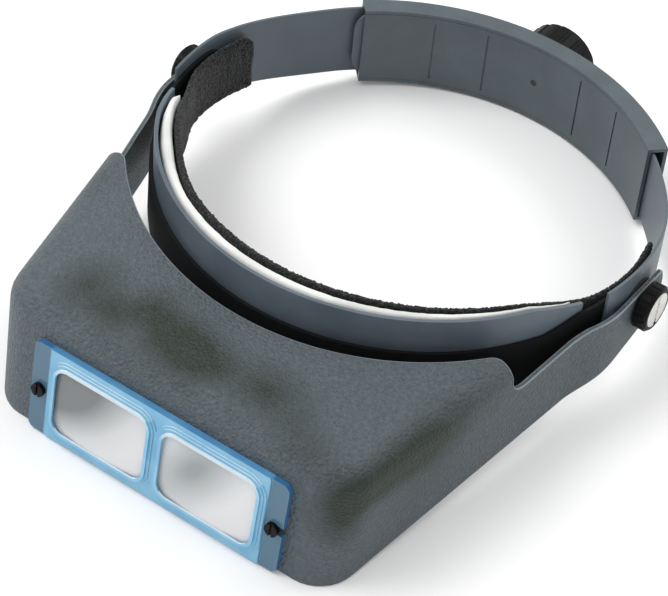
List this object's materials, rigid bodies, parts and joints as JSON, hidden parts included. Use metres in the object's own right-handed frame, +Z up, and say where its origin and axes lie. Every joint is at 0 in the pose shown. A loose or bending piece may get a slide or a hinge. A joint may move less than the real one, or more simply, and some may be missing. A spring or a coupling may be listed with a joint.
{
  "type": "headband magnifier",
  "caption": "Headband magnifier: a tilting grey visor with a blue twin-lens plate, turning on a padded band whose overlapping straps are drawn together by a knob at the back.",
  "frame": {"origin": "Middle of the footprint at floor level: the object stands on the visor's front rim and the rear housing's lower edge.", "axes": "The wearer looks along -Y, +Z is up, +X is the wearer's left. The headband's own level is tipped 5 degrees, front up, about X."},
  "size_m": [0.1942, 0.2431, 0.0534],
  "materials": {
    "visor_plastic": "moulded plastic with a fine leather grain, matte",
    "plate_plastic": "translucent sky blue moulded plastic, glossy",
    "lens_glass": "clear polished optical glass",
    "dark_screw": "blackened steel, satin",
    "brass": "turned brass, plain",
    "carrier_black": "black polyethylene band, glossy",
    "trim_plastic": "dark blue-grey plastic band, satin",
    "foam_white": "white closed-cell foam",
    "sweatband_black": "black brushed terry cloth",
    "strap_plastic": "blue-grey polyethylene, satin",
    "housing_plastic": "grey-green moulded plastic, satin",
    "steel": "nickel plated steel, bright",
    "fibre_black": "black fibre washer",
    "knob_black": "black moulded plastic, fluted",
    "gear_nylon": "black nylon, satin"
  },
  "bodies": {
    "headband": {"carrier_band": "carrier_black", "trim_band": "trim_plastic", "brow_foam": "foam_white", "sweatband": "sweatband_black", "strap_left": "strap_plastic", "strap_right": "strap_plastic", "strap_rivets": "steel", "pivot_bolts": "steel", "pivot_bushes": "steel", "friction_washers": "fibre_black", "wave_washers": "steel"},
    "visor": {"visor": "visor_plastic", "lens_plate": "plate_plastic", "lens_left": "lens_glass", "lens_right": "lens_glass", "lens_inserts": "brass"},
    "lens_screw_left": {"lens_screw_left": "dark_screw"},
    "lens_screw_right": {"lens_screw_right": "dark_screw"},
    "pivot_knob_left": {"pivot_knob_left": "knob_black", "pivot_cap_left": "steel"},
    "pivot_knob_right": {"pivot_knob_right": "knob_black", "pivot_cap_right": "steel"},
    "rear_housing": {"housing_shell": "housing_plastic", "housing_liner": "housing_plastic", "knob_washer": "steel"},
    "rear_knob": {"rear_knob": "knob_black", "pinion": "gear_nylon", "knob_screw": "steel", "knob_cap": "knob_black"}
  },
  "joints": [
    {"name": "visor_raise", "type": "hinge", "parent": "headband", "child": "visor", "pos_m": [0, 0.02152, 0.02835], "axis": [-1, 0, 0], "range_deg": [0, 75]},
    {"name": "housing_slide", "type": "slide", "parent": "headband", "child": "rear_housing", "axis": [0, 0.9962, -0.0875], "range_m": [-0.01, 0.018], "deforming": ["strap_left", "strap_right"]},
    {"name": "rear_knob_turn", "type": "hinge", "parent": "rear_housing", "child": "rear_knob", "pos_m": [0, 0.10984, 0.01557], "axis": [0, 0.9962, -0.0875], "range_deg": [-120, 210]},
    {"name": "pivot_knob_left_turn", "type": "hinge", "parent": "headband", "child": "pivot_knob_left", "pos_m": [0.0922, 0.02152, 0.02835], "axis": [1, 0, 0], "range_deg": [0, 90]},
    {"name": "pivot_knob_right_turn", "type": "hinge", "parent": "headband", "child": "pivot_knob_right", "pos_m": [-0.0922, 0.02152, 0.02835], "axis": [-1, 0, 0], "range_deg": [0, 90]},
    {"name": "lens_screw_left_turn", "type": "hinge", "parent": "visor", "child": "lens_screw_left", "pos_m": [0.046, -0.11698, 0.01735], "axis": [0, -0.9795, 0.2014], "range_deg": [0, 360]},
    {"name": "lens_screw_right_turn", "type": "hinge", "parent": "visor", "child": "lens_screw_right", "pos_m": [-0.046, -0.11698, 0.01735], "axis": [0, -0.9795, 0.2014], "range_deg": [0, 360]}
  ],
  "couplings": [
    {"joint": "rear_knob_turn", "follows": "housing_slide", "rad_per_m": 200}
  ]
}
